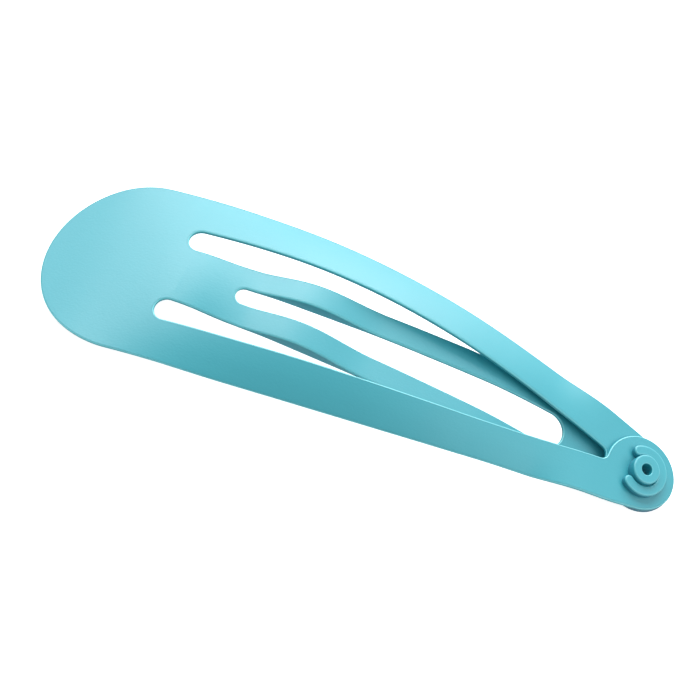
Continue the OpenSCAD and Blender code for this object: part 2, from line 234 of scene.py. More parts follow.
@dataclass(frozen=True)
class Sheet:
    """The arched spring steel sheet, with its coat, that every plate of the clip is cut from.

    Attributes:
        length: length of the clip's plan.
        head_width: width of the round head.
        rise: height of the lengthwise arch above the line between its ends.
        cross_drop: drop of the crosswise arch at half the head's width.
        thickness: thickness of the sheet with its coat.
        pad_diameter: diameter of the pads.
        pad_gap: gap between the two stacked pads.
        pad_run: length of the pads' straight stretch.
        height: the lengthwise arch, as shares of the rise.
        drop: the crosswise arch along the clip, as shares of its drop.
        fade_share: share of the length from which the crosswise arch fades out.
        part_share: share of the length from which the arms part in height.
        slope_step: distance over which a slope is measured.
    """

    length: float = 0.050
    head_width: float = 0.0142
    rise: float = 0.0066
    cross_drop: float = 0.0021
    thickness: float = 0.00035
    pad_diameter: float = 0.0056
    pad_gap: float = 0.00004
    pad_run: float = 0.0062
    height: ShareCurve = ShareCurve(
        (0.0, 0.362, 0.661, 0.874, 0.988, 0.983, 0.879, 0.699, 0.485, 0.256, 0.0)
    )
    drop: ShareCurve = ShareCurve((0.0, 0.06, 0.38, 0.74, 0.93, 1.0, 0.98, 0.90, 0.77, 0.59, 0.40))
    fade_share: float = 0.78
    part_share: float = 0.66
    slope_step: float = 0.00001

    @property
    def head_radius(self) -> float:
        """Return the radius of the round head."""
        return self.head_width / 2

    @property
    def pad_radius(self) -> float:
        """Return the radius of a pad."""
        return self.pad_diameter / 2

    @property
    def pad_x(self) -> float:
        """Return the X of the pads' middle."""
        return self.length - self.pad_radius

    @property
    def flat_x(self) -> float:
        """Return the X where the pads' flat stretch starts."""
        return self.length - self.pad_run

    @property
    def head_angle(self) -> float:
        """Return the sheet's slope at the head's rim, in radians."""
        return math.atan(float(self._arch(self.slope_step)) / self.slope_step)

    @property
    def head_lift(self) -> float:
        """Return the lift that stands the head's rim on the ground."""
        return self.thickness / 2 * math.cos(self.head_angle)

    @property
    def tip_lift(self) -> float:
        """Return the lift that stands the lower pad on the ground."""
        slope = math.atan(float(self._arch(self.flat_x)) / self.pad_run)
        return (self.thickness + self.pad_gap / 2) * math.cos(slope)

    @property
    def pad_angle(self) -> float:
        """Return the slope of the flat pads, in radians."""
        return math.atan((float(self.lifted(self.flat_x)) - self.tip_lift) / self.pad_run)

    @property
    def middle_x(self) -> float:
        """X of the middle of the clip's box.

        Returns:
            The X, with what the sheet's thickness adds at both ends.
        """
        head_reach = self.thickness / 2 * math.sin(self.head_angle)
        tip_reach = (self.thickness + self.pad_gap / 2) * math.sin(self.pad_angle)
        return (self.length + tip_reach - head_reach) / 2

    def _arch(self, x: Array | float) -> Array:
        """Return the height of the lengthwise arch above the line between its ends."""
        return self.rise * self.height.at(x / self.length)

    def lift(self, x: Array | float) -> Array | float:
        """Return the lift of the sheet's middle that stands both its ends on the ground."""
        return mix(self.head_lift, self.tip_lift, x / self.length)

    def lifted(self, x: Array | float) -> Array:
        """Return the height of the lengthwise arch above the ground."""
        return self._arch(x) + self.lift(x)

    def crest(self, x: Array | float) -> Array:
        """Return the height of the sheet's middle line, which is straight in the pads."""
        straight = mix(self.lifted(self.flat_x), self.tip_lift, (x - self.flat_x) / self.pad_run)
        return np.where(x < self.flat_x, self.lifted(np.minimum(x, self.flat_x)), straight)

    def drop_rate(self, x: Array) -> Array:
        """Return how fast the sheet drops with the square of Y, which fades out before the pads."""
        rate = self.cross_drop * self.drop.at(x / self.length) / self.head_radius**2
        return rate * (1 - ease(x, self.fade_share * self.length, self.flat_x))

    def surface(self, x: Array, y: Array) -> Array:
        """Return the height of the sheet's middle over plan points."""
        return self.crest(x) - self.drop_rate(x) * y**2

    def arm_step(self, x: Array) -> Array:
        """Return how far an arm leaves the middle of the sheet on its way to its pad."""
        parted = ease(x / self.length, self.part_share, self.flat_x / self.length)
        return (self.thickness + self.pad_gap) / 2 * parted

    def place(
        self, surface: Callable[[Array, Array], Array], plan: Array, offset: Array | float
    ) -> Array:
        """Points of a surface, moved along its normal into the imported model's frame.

        Args:
            surface: height over X and Y.
            plan: plan points, one row of X and Y each.
            offset: distance along the normal.

        Returns:
            One row of X, Y and Z for each plan point.
        """
        x, y, step = plan[:, 0], plan[:, 1], self.slope_step
        slope_x = (surface(x + step, y) - surface(x - step, y)) / (2 * step)
        slope_y = (surface(x, y + step) - surface(x, y - step)) / (2 * step)
        normal = np.column_stack([-slope_x, -slope_y, np.ones(len(x))])
        normal /= np.linalg.norm(normal, axis=1)[:, None]
        centre = np.column_stack([x - self.middle_x, y, surface(x, y)])
        return centre + normal * np.broadcast_to(offset, len(x))[:, None]

    def middle_point(self, x: float) -> Array:
        """Return the point of the sheet's middle line at an X."""
        return self.place(self.surface, np.array([[x, 0.0]]), 0.0)[0]


@dataclass(frozen=True)
class Opening:
    """Plan sizes that the head, the arms and the tongue share round the slots.

    Attributes:
        width: width between the arms beside the head.
        slot_start: X of the round ends of the side slots.
        skew: how much later than that the far slot starts, and how much earlier the near one.
        root_width: width of the tongue where it leaves the head.
        seam_rows: distances from the tongue's edge of the points across its root.
        seam_step: largest distance between points across the tongue's root.
    """

    width: float = 0.0079
    slot_start: float = 0.0096
    skew: float = 0.0002
    root_width: float = 0.0045
    seam_rows: tuple[float, ...] = (0.00012, 0.0003, 0.0006)
    seam_step: float = 0.00025

    @property
    def slot_radius(self) -> float:
        """Return the radius of the side slots' round ends."""
        return (self.width - self.root_width) / 4

    @property
    def slot_y(self) -> float:
        """Return the distance from the clip's middle to that of a side slot."""
        return (self.width + self.root_width) / 4

    @property
    def root_x(self) -> float:
        """Return the X of the line where the tongue starts."""
        return self.slot_start + self.slot_radius

    def root_shift(self, y: Array | float) -> Array | float:
        """Return how far the line where the tongue starts leaves root_x."""
        return self.skew * np.clip(np.asarray(y) / (self.root_width / 2), -1, 1)

    def seam(self) -> Array:
        """Points inside the seam between the head and the tongue.

        Returns:
            Plan points from the far side to the near one.
        """
        half = self.root_width / 2
        inner = half - self.seam_rows[-1]
        count = int(math.ceil(2 * inner / self.seam_step))
        outer = np.array([half - d for d in self.seam_rows[:-1]])
        across = np.concatenate([outer, np.linspace(inner, -inner, count + 1), -outer[::-1]])
        return np.column_stack([self.root_x + self.root_shift(across), across])


@dataclass(frozen=True)
class RootBend:
    """The bend by which the sheet levels out between the side slots, where the tongue starts.

    Attributes:
        sheet: the arched sheet.
        start: X where the sheet starts to bend.
        end: X where it is level.
        half_width: distance from the middle line within which it bends fully.
        fade: distance over which the bend fades out beside that.
    """

    sheet: Sheet = Sheet()
    start: float = 0.0088
    end: float = 0.0124
    half_width: float = 0.00225
    fade: float = 0.0014

    def dip(self, x: Array, y: Array) -> Array:
        """How far the bent sheet lies below the arched one.

        Args:
            x: X of each point.
            y: Y of each point.

        Returns:
            The distance at each point.
        """
        step = self.sheet.slope_step
        height = float(self.sheet.crest(self.start))
        slope = (float(self.sheet.crest(self.start + step)) - height) / step
        run = np.clip(x, self.start, self.end) - self.start
        bent = height + slope * run * (1 - run / (2 * (self.end - self.start)))
        across = 1 - ease(np.abs(y), self.half_width, self.half_width + self.fade)
        return np.where(x > self.start, self.sheet.crest(x) - bent, 0.0) * across


@dataclass
class Edge:
    """A closed edge of a plate.

    Attributes:
        plan: plan points, with the plate on the right of the way round.
        side: the sign of the arm that each point belongs to.
        seam: True at points inside the joint with the next plate, which stays square.
    """

    plan: Array
    side: Array
    seam: Array

    @classmethod
    def closed(cls, plan: Array, side: int = 0) -> Edge:
        """Return an edge with no seam, all on one side."""
        return cls(plan, np.full(len(plan), side), np.zeros(len(plan), bool))

    def beside_seam(self) -> Array:
        """Return True for each of a seam's two neighbours."""
        return ~self.seam & (np.roll(self.seam, 1) | np.roll(self.seam, -1))

    def inward(self, distance: float) -> Array:
        """Plan points moved into the plate, but for those inside a seam.

        Args:
            distance: how far they move. A seam's neighbours move straight across the clip.

        Returns:
            One row of X and Y for each point.
        """
        along = np.roll(self.plan, -1, 0) - np.roll(self.plan, 1, 0)
        outward = np.column_stack([-along[:, 1], along[:, 0]])
        outward /= np.linalg.norm(outward, axis=1)[:, None]
        corner = self.beside_seam()
        across = np.sign(self.plan[corner, 1])
        outward[corner] = np.column_stack([np.zeros(len(across)), across])
        return self.plan - outward * np.where(self.seam, 0.0, distance)[:, None]


@dataclass
class Spots:
    """Plan points of a plate.

    Attributes:
        plan: one row of X and Y for each point.
        side: the sign of the arm that each point belongs to.
        inset: distance of each point from the plate's edge.
    """

    plan: Array
    side: Array
    inset: Array

    @classmethod
    def merged(cls, parts: list[Spots]) -> Spots:
        """Return the points of several sets as one."""
        return cls(*map(np.concatenate, zip(*((p.plan, p.side, p.inset) for p in parts))))


@dataclass
class Cut:
    """A plate's plan, cut into triangles.

    Attributes:
        spots: its points.
        faces: triangles, counter-clockwise from above, one row of indices each.
        loops: indices of each edge's points.
    """

    spots: Spots
    faces: Array
    loops: list[Array]


@dataclass
class Plate:
    """A flat or arched plate with rounded edges, cut to shape from its plan.

    Attributes:
        rounding: radius of the edges' upper corners.
        lower_rounding: height of the edges' lower corners, which are as wide as the upper ones.
        corner_steps: steps round each such corner.
        rings: distances from the edge of the rows of points that follow it.
        spacing: distance between points away from the edges.
        clearance: distance that those points keep from the edge.
        step: largest distance between points along the edges.
    """

    rounding: float = 0.0001
    lower_rounding: float = 0.0002
    corner_steps: int = 5
    rings: tuple[float, ...] = (0.00012, 0.0003, 0.0006)
    spacing: float = 0.00045
    clearance: float = 0.00095
    step: float = 0.0003

    def edges(self) -> list[Edge]:
        """Return the plate's closed edges, its outer one first."""
        raise NotImplementedError

    def laid(self, face: Face, spots: Spots, depth: float) -> Array:
        """Points at or beside one of the plate's faces.

        Args:
            face: the face.
            spots: plan points.
            depth: distance of the points from that face, into the plate.

        Returns:
            One row of X, Y and Z for each point.
        """
        raise NotImplementedError

    def painted_shade(self, edge: Edge) -> Array:
        """Return how much painted shade each of an edge's points gets, from 0 to 1."""
        return np.zeros(len(edge.plan))

    def spread(self, plan: Array, side: Array) -> Array:
        """Return the flat points at which the plan is cut into triangles."""
        return plan

    def gather(self, flat: Array) -> tuple[Array, Array]:
        """Return the plan points, and their sides, of flat points."""
        return flat, np.zeros(len(flat), int)

    def cut(self) -> Cut:
        """Cut the plan into triangles.

        Returns:
            The plan's points and triangles. The edges' points come first, moved in by the rounding.
        """
        edges = self.edges()
        parts = [
            Spots(e.inward(self.rounding), e.side, np.where(e.seam, self.clearance, self.rounding))
            for e in edges
        ]
        outlines = [self.spread(p.plan, p.side) for p in parts]
        for distance in self.rings:
            for e in edges:
                keep = ~(e.seam | e.beside_seam())
                inset = np.full(keep.sum(), distance)
                parts.append(Spots(e.inward(distance)[keep], e.side[keep], inset))
        plan, side = self.gather(self._lattice(outlines))
        parts.append(Spots(plan, side, np.full(len(plan), self.clearance)))
        spots = Spots.merged(parts)
        flat = self.spread(spots.plan, spots.side)
        ends = np.cumsum([0, *(len(e.plan) for e in edges)])
        loops = [np.arange(first, end) for first, end in zip(ends[:-1], ends[1:])]
        borders = [pair for loop in loops for pair in zip(loop.tolist(), np.roll(loop, -1).tolist())]
        points = [Vector(p) for p in flat * FINE_UNITS]
        _, _, triangles, origins, *_ = delaunay_2d_cdt(points, borders, [], 0, CUT_TOLERANCE, True)
        faces = np.array([[origins[k][0] for k in triangle] for triangle in triangles])
        faces = faces[within(flat[faces].mean(axis=1), outlines)]
        a, b, c = (flat[faces[:, k]] for k in range(3))
        turned = np.cross(b - a, c - a) < 0
        faces[turned] = faces[turned][:, ::-1]
        return Cut(spots, faces, loops)

    def _lattice(self, outlines: list[Array]) -> Array:
        """Evenly spaced flat points inside the outlines.

        Args:
            outlines: the closed outlines, the outer one first.

        Returns:
            The points that keep clear of the outlines.
        """
        low, high = outlines[0].min(0), outlines[0].max(0)
        rows = []
        for k, y in enumerate(np.arange(low[1], high[1], self.spacing * math.sqrt(3) / 2)):
            x = np.arange(low[0] + self.spacing / 2 * (k % 2), high[0], self.spacing)
            rows.append(np.column_stack([x, np.full(len(x), y)]))
        points = np.vstack(rows)
        points = points[within(points, outlines)]
        border = np.vstack(outlines)
        gaps = np.array([np.min(np.hypot(*(border - p).T)) for p in points])
        return points[gaps > self.clearance - self.rounding]

    def mesh(self, name: str) -> bpy.types.Mesh:
        """Build the plate as one closed mesh.

        Args:
            name: name of the mesh.

        Returns:
            The mesh, smooth but for its seam. Its rim attribute is 1 as a painted highlight along the
            upper edges and -1 as painted shade where the plate's shade mask is 1.
        """
        cut = self.cut()
        count = len(cut.spots.plan)
        points = [self.laid(face, cut.spots, 0.0) for face in Face]
        faces = [tuple(f) for f in np.vstack([cut.faces, cut.faces[:, ::-1] + count]).tolist()]
        total = 2 * count
        rims, caps = [np.zeros(total)], []
        turns = np.arange(1, self.corner_steps + 1) * QUARTER / self.corner_steps
        profile = [(Face.UPPER, t) for t in turns] + [(Face.LOWER, t) for t in turns[::-1]]
        for edge, loop in zip(self.edges(), cut.loops):
            columns = [loop]
            for face, turn in profile:
                upper = face is Face.UPPER
                inset = self.rounding * (1 - math.sin(turn))
                depth = (self.rounding if upper else self.lower_rounding) * (1 - math.cos(turn))
                spots = Spots(edge.inward(inset), edge.side, np.full(len(loop), inset))
                points.append(self.laid(face, spots, depth))
                # painted highlight on the upper rounding, painted shade where the plate's shade mask
                # is set
                rims.append(mix(math.sin(2 * turn) if upper else 0.0, -1.0, self.painted_shade(edge)))
                columns.append(total + np.arange(len(loop)))
                total += len(loop)
            columns.append(count + loop)
            faces += self._walls(edge, columns)
            if edge.seam.any():
                caps.append(len(faces))
                faces.append(self._cap(edge, columns))
        return self._finished(name, np.vstack(points), faces, np.concatenate(rims), caps)

    @staticmethod
    def _walls(edge: Edge, columns: list[Array]) -> Faces:
        """The faces down an edge, but for those of its seam.

        Args:
            edge: the edge.
            columns: mesh points of the edge, row by row from the upper face to the lower one.

        Returns:
            The points of each face.
        """
        faces = []
        for k in range(len(edge.plan)):
            after = (k + 1) % len(edge.plan)
            if not (edge.seam[k] or edge.seam[after]):
                faces += [(t[after], t[k], b[k], b[after]) for t, b in zip(columns[:-1], columns[1:])]
        return faces

    @staticmethod
    def _cap(edge: Edge, columns: list[Array]) -> tuple[int, ...]:
        """The face that closes a plate at its seam.

        Args:
            edge: the edge with the seam.
            columns: mesh points of the edge, row by row from the upper face to the lower one.

        Returns:
            The points round that face.
        """
        inner = np.flatnonzero(edge.seam)
        size = len(edge.plan)
        first, last = (inner[0] - 1) % size, (inner[-1] + 1) % size
        way = [columns[0][k] for k in inner] + [c[last] for c in columns]
        way += [columns[-1][k] for k in inner[::-1]] + [c[first] for c in columns[::-1]]
        return tuple(reversed(way))

    @staticmethod
    def _finished(
        name: str, points: Array, faces: Faces, rim: Array, caps: list[int]
    ) -> bpy.types.Mesh:
        """Turn points and faces into a mesh.

        Args:
            name: name of the mesh.
            points: one row of X, Y and Z for each point.
            faces: point indices of each face.
            rim: value of the rim attribute at each point.
            caps: indices of the faces that close a seam.

        Returns:
            The mesh, without the points that no face uses.
        """
        used = np.unique(np.concatenate([np.array(f) for f in faces]))
        renumbered = np.full(len(points), -1)
        renumbered[used] = np.arange(len(used))
        mesh = bpy.data.meshes.new(name)
        corners = [tuple(renumbered[list(f)].tolist()) for f in faces]
        mesh.from_pydata(points[used].tolist(), [], corners)
        mesh.polygons.foreach_set("use_smooth", np.ones(len(faces), bool))
        attribute = mesh.attributes.new(PAINTED_LIGHT_ATTRIBUTE, "FLOAT", "POINT")
        attribute.data.foreach_set("value", rim[used].astype(np.float32))
        square = {key for k in caps for key in mesh.polygons[k].edge_keys}
        for edge in mesh.edges:
            edge.use_edge_sharp = edge.key in square
        mesh.validate()
        mesh.update()
        return mesh


@dataclass
class SheetPlate(Plate):
    """A plate of the arched sheet.

    Attributes:
        sheet: the arched sheet.
        opening: the plan sizes round the slots.
        bend: the bend where the tongue leaves the head.
        round_step: distance between points along small round edges.
    """

    sheet: Sheet = Sheet()
    opening: Opening = Opening()
    bend: RootBend = RootBend()
    round_step: float = 0.00012

    def surface(self, face: Face, spots: Spots, x: Array, y: Array) -> Array:
        """Height of the surface that one of the plate's faces follows.

        Args:
            face: the face.
            spots: the points that are laid beside it.
            x: X at or close to each of them.
            y: Y of the same places.

        Returns:
            The height at each place.
        """
        raise NotImplementedError

    def middle_offset(self, spots: Spots) -> Array | float:
        """Return how far the plate's middle lies above that surface."""
        return 0.0

    def laid(self, face: Face, spots: Spots, depth: float) -> Array:
        """Return points at or beside a face, along the normal of its surface."""
        offset = self.middle_offset(spots) + face.value * (self.sheet.thickness / 2 - depth)
        return self.sheet.place(partial(self.surface, face, spots), spots.plan, offset)


@dataclass
class ClipFrame(SheetPlate):
    """The head with its two arms and their stacked pads.

    Attributes:
        shoulder_x: X where the outline starts to narrow.
        shoulder_radius: radius of the outline's long shoulder curve.
        opening_x: X where the arms start to close in.
        opening_radius: radius of the arms' inner edges.
        inner_run_share: share of the length from which those edges run straight.
        pad_fillet: radius of the hollow curve between an arm's inner edge and its pad.
        bore_radius: radius of the rivet's hole in the pads.
        skew_fade: distance past the slots' round ends over which their skew fades out.
        swell: how much fuller the near and the far arm are where they run to their pads.
        swell_rise: first and last X of the stretch where they swell.
        swell_fall: first and last X of the stretch where the swelling fades.
        slip: how far the far arm's pad lies off the near one's, lengthwise and crosswise.
        slip_from: X from which it slips.
        slip_over: distance over which it does so.
        apart_from: X from which the arms are laid apart to be cut.
        apart_by: distance by which each pad is then moved.
    """

    shoulder_x: float = 0.012
    shoulder_radius: float = 0.132
    opening_x: float = 0.0137
    opening_radius: float = 0.136
    inner_run_share: float = 0.84
    pad_fillet: float = 0.0006
    bore_radius: float = 0.00093
    skew_fade: float = 0.004
    swell: tuple[float, float] = (0.00022, 0.00012)
    swell_rise: tuple[float, float] = (0.0340, 0.0437)
    swell_fall: tuple[float, float] = (0.0452, 0.0492)
    slip: tuple[float, float] = (0.00005, -0.00006)
    slip_from: float = 0.0430
    slip_over: float = 0.003
    apart_from: float = 0.020
    apart_by: float = 0.0042

    @property
    def run_x(self) -> float:
        """Return the X from which the arms' inner edges run straight."""
        return self.inner_run_share * self.sheet.length

    def edges(self) -> list[Edge]:
        """The outer edge and the rivet's two bores.

        Returns:
            The three edges. The outer one starts at the head's rim and runs round the far arm first.
        """
        corner = np.array([[self.opening.root_x, self.opening.root_width / 2]])
        outer = self._outer()
        half = joined(outer, self._inner(), corner)
        far = self._settled(half, len(outer), Side.FAR)
        seam = self.opening.seam()
        near = mirrored(self._settled(half, len(outer), Side.NEAR))[:-1]
        counts = [len(far), len(seam), len(near)]
        side = np.repeat([Side.FAR.value, 0, Side.NEAR.value], counts)
        side[0] = 0
        body = Edge(joined(far, seam, near), side, np.repeat([False, True, False], counts))
        bore = arc((self.sheet.pad_x, 0.0), self.bore_radius, 0.0, 4 * QUARTER, self.round_step)
        return [body, *(Edge.closed(bore, s.value) for s in Side)]

    def _settled(self, half: Array, outer_count: int, side: Side) -> Array:
        """The edge of one half, with its own small differences from the other.

        Args:
            half: plan points of the far half's edge, from the head's rim round to the seam.
            outer_count: how many of them lie on the outline.
            side: the half to make, which is still given as if it were the far one.

        Returns:
            The points, moved.
        """
        x, y = half.T
        outer = np.arange(len(half)) < outer_count
        swell = self.swell[0] if side is Side.NEAR else self.swell[1]
        moved_y = np.where(outer & (y > 0), swell * ease(x, *self.swell_rise), 0.0)
        moved_y *= 1 - ease(x, *self.swell_fall)
        root_x = self.opening.root_x
        lean = 1 - ease(x, root_x, root_x + self.skew_fade)
        inside = ~outer & (x < self.opening_x + self.skew_fade)
        moved_x = np.where(inside, side.value * self.opening.skew * lean, 0.0)
        if side is Side.FAR:
            slipped = ease(x, self.slip_from, self.slip_from + self.slip_over)
            moved_x, moved_y = moved_x + self.slip[0] * slipped, moved_y + self.slip[1] * slipped
        return half + np.column_stack([moved_x, moved_y])

    def _outer(self) -> Array:
        """The far half of the outline.

        Returns:
            Plan points from the head's rim round to the pad's hollow curve.
        """
        head, pad, pad_x = self.sheet.head_radius, self.sheet.pad_radius, self.sheet.pad_x
        low, span = head - self.shoulder_radius, pad_x - self.shoulder_x
        run = math.atan2(-low, span) + math.acos((self.shoulder_radius - pad) / math.hypot(span, low))
        turn = np.array([math.cos(run), math.sin(run)])
        leave = np.array([self.shoulder_x, low]) + self.shoulder_radius * turn
        arrive = np.array([pad_x, 0.0]) + pad * turn
        pad_end = self._fillet()[1] - 2 * QUARTER
        return joined(
            arc((head, 0.0), head, 2 * QUARTER, QUARTER, self.step),
            line((head, head), (self.shoulder_x, head), self.step),
            arc((self.shoulder_x, low), self.shoulder_radius, QUARTER, run, self.step),
            line(leave, arrive, self.step),
            arc((pad_x, 0.0), pad, run, pad_end, self.round_step * 2),
        )

    def _inner_y(self, x: float) -> float:
        """Half the width between the arms, before their pads.

        Args:
            x: X of a point on it.

        Returns:
            The distance from the middle line to an arm's inner edge.
        """
        reach = math.sqrt(self.opening_radius**2 - (min(x, self.run_x) - self.opening_x) ** 2)
        straight = self._inner_slope() * max(x - self.run_x, 0)
        return self.opening.width / 2 - self.opening_radius + reach + straight

    def _inner_slope(self) -> float:
        """Return the slope of the arms' inner edges where they run straight."""
        reach = self.run_x - self.opening_x
        return -reach / math.sqrt(self.opening_radius**2 - reach**2)

    def _fillet(self) -> tuple[Array, float, float]:
        """The hollow curve between the pad and the arm's inner edge.

        Returns:
            Its middle, and the angles of its ends at the pad and at the inner edge.
        """
        pad, radius, pad_x = self.sheet.pad_radius, self.pad_fillet, self.sheet.pad_x
        tilt = -math.atan(self._inner_slope())
        guess_x = pad_x - pad - radius + radius * math.sin(tilt)
        y = self._inner_y(guess_x) - radius * math.cos(tilt)
        x = pad_x - math.sqrt((pad + radius) ** 2 - y**2)
        return np.array([x, y]), math.atan2(-y, pad_x - x), QUARTER - tilt

    def _inner(self) -> Array:
        """The hollow curve, the arm's inner edge and the side slot's round end.

        Returns:
            Plan points from the pad to the tongue's root.
        """
        centre, start, end = self._fillet()
        top = centre + self.pad_fillet * np.array([math.cos(end), math.sin(end)])
        half, low = self.opening.width / 2, self.opening.width / 2 - self.opening_radius
        turn = math.acos((self.run_x - self.opening_x) / self.opening_radius)
        root_x, slot_y = self.opening.root_x, self.opening.slot_y
        return joined(
            arc(centre, self.pad_fillet, start, end, self.round_step),
            line(top, (self.run_x, self._inner_y(self.run_x)), self.step),
            arc((self.opening_x, low), self.opening_radius, turn, QUARTER, self.step),
            line((self.opening_x, half), (root_x, half), self.step),
            arc((root_x, slot_y), self.opening.slot_radius, QUARTER, 3 * QUARTER, self.round_step),
        )

    def _apart(self, x: Array) -> Array:
        """Return how far the arms are moved apart for the cutting."""
        return self.apart_by * ease(x, self.apart_from, self.sheet.flat_x)

    def spread(self, plan: Array, side: Array) -> Array:
        """Return the flat points, with the two arms laid apart."""
        return plan + np.column_stack([np.zeros(len(plan)), side * self._apart(plan[:, 0])])

    def gather(self, flat: Array) -> tuple[Array, Array]:
        """Return the plan points, and their sides, of flat points."""
        side = np.where(flat[:, 1] < 0, Side.NEAR.value, Side.FAR.value)
        return flat - np.column_stack([np.zeros(len(flat)), side * self._apart(flat[:, 0])]), side

    def painted_shade(self, edge: Edge) -> Array:
        """Return 1 for painted shade on the lower pad's near edge, which the upper pad shades."""
        return 1.0 * ((edge.side == Side.FAR.value) & (edge.plan[:, 1] < -self.bore_radius))

    def surface(self, face: Face, spots: Spots, x: Array, y: Array) -> Array:
        """Return the height of the arched sheet, bent down between the slots up to the seam."""
        return self.sheet.surface(x, y) - np.where(x < self.opening_x, self.bend.dip(x, y), 0.0)

    def middle_offset(self, spots: Spots) -> Array | float:
        """Return how far the arms part in height, the far one downwards, on the way to their pads."""
        return -spots.side * self.sheet.arm_step(spots.plan[:, 0])


@dataclass
class Tongue(SheetPlate):
    """The tongue with its window, its two legs and the hump pressed across them.

    Attributes:
        height: the tongue's height without its hump, as shares of the sheet's rise.
        join: distance past the bend over which the tongue takes its own height.
        flatten_share: share of the length at which the tongue has lost the crosswise arch.
        flatten_over: share of the length over which it loses it.
        width: width of the tongue past its middle.
        full_x: X where it reaches that width.
        end_x: X of its round end.
        window_start: X of the narrow end of the window.
        window_root_width: width of the window there.
        window_end: X of the wide end of the window.
        window_end_width: width of the window there.
        hump_height: height of the hump.
        hump_start: X where the hump starts.
        hump_peak: X of its top.
        hump_end: X where it ends.
        wall: thickness of the hump's side walls.
        wall_foot: distance from the edge at which the hollow under the hump has its full height.
    """

    height: ShareCurve = ShareCurve(
        (
            *(0.521, 0.661, 0.682, 0.695, 0.724, 0.722, 0.714, 0.701, 0.674),
            *(0.636, 0.594, 0.540, 0.448, 0.330, 0.205, 0.105, 0.050),
        ),
        first=0.15,
        step=0.05,
    )
    join: float = 0.0031
    flatten_share: float = 0.5
    flatten_over: float = 0.3
    width: float = 0.006
    full_x: float = 0.032
    end_x: float = 0.0454
    window_start: float = 0.01455
    window_root_width: float = 0.0013
    window_end: float = 0.04085
    window_end_width: float = 0.00265
    hump_height: float = 0.00087
    hump_start: float = 0.0155
    hump_peak: float = 0.0203
    hump_end: float = 0.0258
    wall: float = 0.0003
    wall_foot: float = 0.00042
    step: float = 0.00025
    rings: tuple[float, ...] = (0.00012, 0.0003, 0.00042)
    spacing: float = 0.0003
    clearance: float = 0.00065

    def edges(self) -> list[Edge]:
        """The outer edge and the window.

        Returns:
            The two edges. The outer one starts at the far end of the seam.
        """
        half, middle = self.width / 2, self.end_x - self.width / 2
        root, skew = np.array([self.opening.root_x, self.opening.root_width / 2]), self.opening.skew
        along = line((self.full_x, half), (middle, half), self.step)
        far, near = (
            joined(line(root + [shift, 0.0], (self.full_x, half), self.step), along)
            for shift in (skew, -skew)
        )
        tip = arc((middle, 0.0), half, QUARTER, -QUARTER, self.round_step * 2)
        seam = self.opening.seam()[::-1]
        outer = joined(far, tip, np.array([[middle, -half]]), mirrored(near), seam)
        inside = np.arange(len(outer)) >= len(outer) - len(seam)
        return [Edge(outer, np.zeros(len(outer), int), inside), Edge.closed(self._window())]

    def _window(self) -> Array:
        """The window's edge.

        Returns:
            Plan points, counter-clockwise from the far side of the narrow end.
        """
        small, large = self.window_root_width / 2, self.window_end_width / 2
        left, right = self.window_start + small, self.window_end - large
        taper = math.asin((large - small) / (right - left))
        start = QUARTER + taper
        low = np.array([math.cos(start), -math.sin(start)])
        low_left, low_right = [left, 0.0] + small * low, [right, 0.0] + large * low
        return joined(
            arc((left, 0.0), small, start, 4 * QUARTER - start, self.round_step),
            line(low_left, low_right, self.step),
            arc((right, 0.0), large, -start, start, self.round_step),
            line(low_right * [1, -1], low_left * [1, -1], self.step),
        )

    def hump(self, x: Array) -> Array:
        """Height of the hump.

        Args:
            x: X of each point.

        Returns:
            The height at each one.
        """
        rising = np.sin(QUARTER * progress(x, self.hump_start, self.hump_peak))
        falling = np.cos(QUARTER * progress(x, self.hump_peak, self.hump_end))
        return self.hump_height * (rising * falling) ** 2

    def middle(self, x: Array, y: Array) -> Array:
        """Height of the tongue's middle without its hump.

        Args:
            x: X of each point.
            y: Y of each point.

        Returns:
            The height, which leaves the head's surface smoothly.
        """
        share, flat = x / self.sheet.length, self.flatten_share
        arched = progress(share, flat, flat - self.flatten_over)
        along = self.sheet.rise * self.height.at(share) + self.sheet.lift(x)
        own = along - self.sheet.drop_rate(x) * arched * y**2
        level = self.sheet.surface(x, y) - self.bend.dip(x, y)
        return mix(level, own, ease(x, self.bend.end, self.bend.end + self.join))

    def surface(self, face: Face, spots: Spots, x: Array, y: Array) -> Array:
        """Return the height of the tongue, which rises in the hump but for the lower face's walls."""
        raised = 1.0 if face is Face.UPPER else ease(spots.inset, self.wall, self.wall_foot)
        return self.middle(x, y) + self.hump(x) * raised


